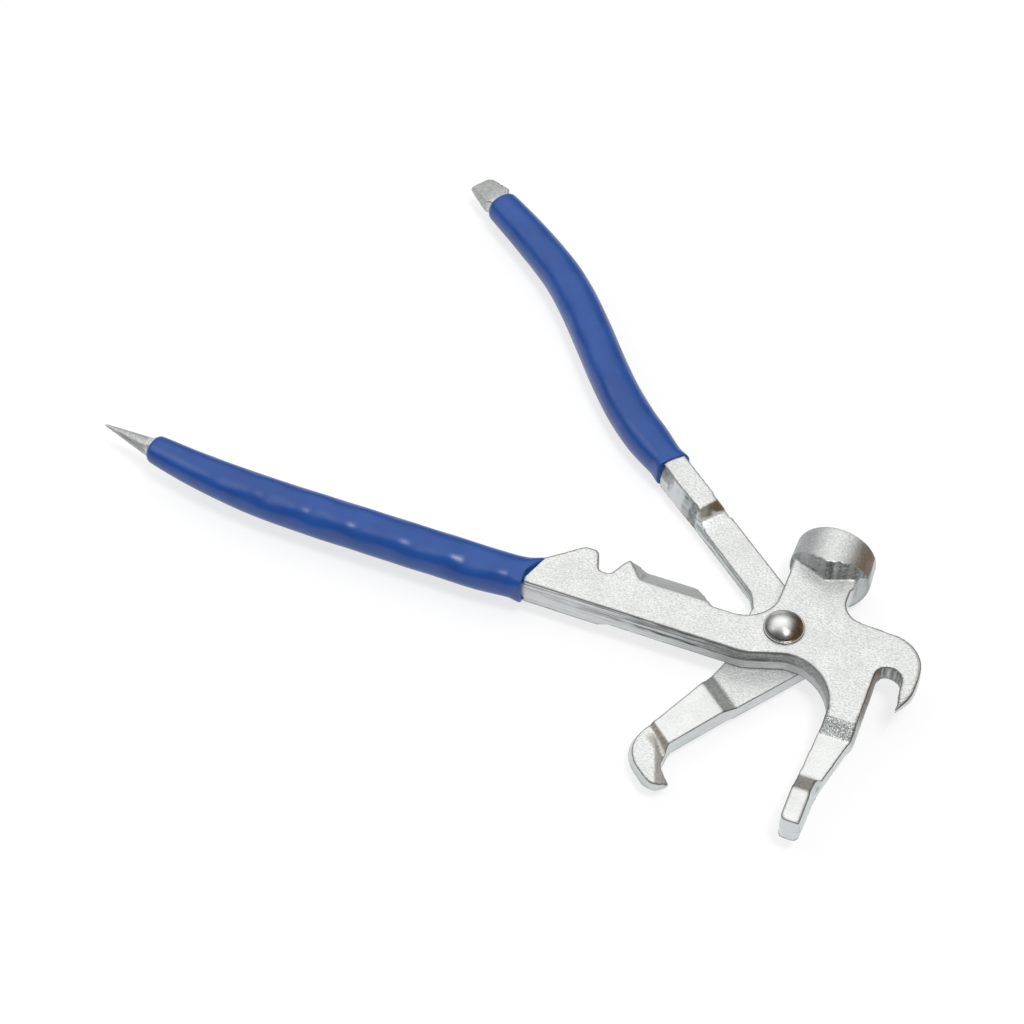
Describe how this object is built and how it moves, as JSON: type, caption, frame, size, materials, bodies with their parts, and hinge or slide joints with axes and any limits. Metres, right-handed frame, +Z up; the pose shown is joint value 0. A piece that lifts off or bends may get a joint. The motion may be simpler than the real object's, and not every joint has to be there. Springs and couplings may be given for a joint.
{
  "type": "wheel weight pliers",
  "caption": "Crossed-lever hand pliers for fitting and removing wheel-balancing weights, with hammer, pry claw, trimming blade and hooked jaw, spike and driver tips and dipped grips.",
  "frame": {"origin": "middle of the flat peened face of the pivot rivet's tail, on the pivot axis", "axes": "+Z up along the pivot axis towards the rivet's domed head; the hammer lever's handle runs along -X, the hammer points along +Y and both jaws point along -Y"},
  "size_m": [0.2515, 0.2031, 0.0234],
  "materials": {
    "hammer_lever": "satin plated forging with fine orange peel",
    "hook_lever": "satin plated forging with fine orange peel",
    "pivot_rivet": "polished",
    "hammer_lever_grip": "glossy dipped vinyl",
    "hook_lever_grip": "glossy dipped vinyl"
  },
  "bodies": {
    "hammer_side": {"hammer_lever": "hammer_lever", "hammer_lever_grip": "hammer_lever_grip", "pivot_rivet": "pivot_rivet"},
    "hook_side": {"hook_lever": "hook_lever", "hook_lever_grip": "hook_lever_grip"}
  },
  "joints": [
    {"name": "pivot", "type": "hinge", "parent": "hammer_side", "child": "hook_side", "pos_m": [0, 0, 0.007], "axis": [0, 0, 1], "range_deg": [-8.5, 32]}
  ]
}
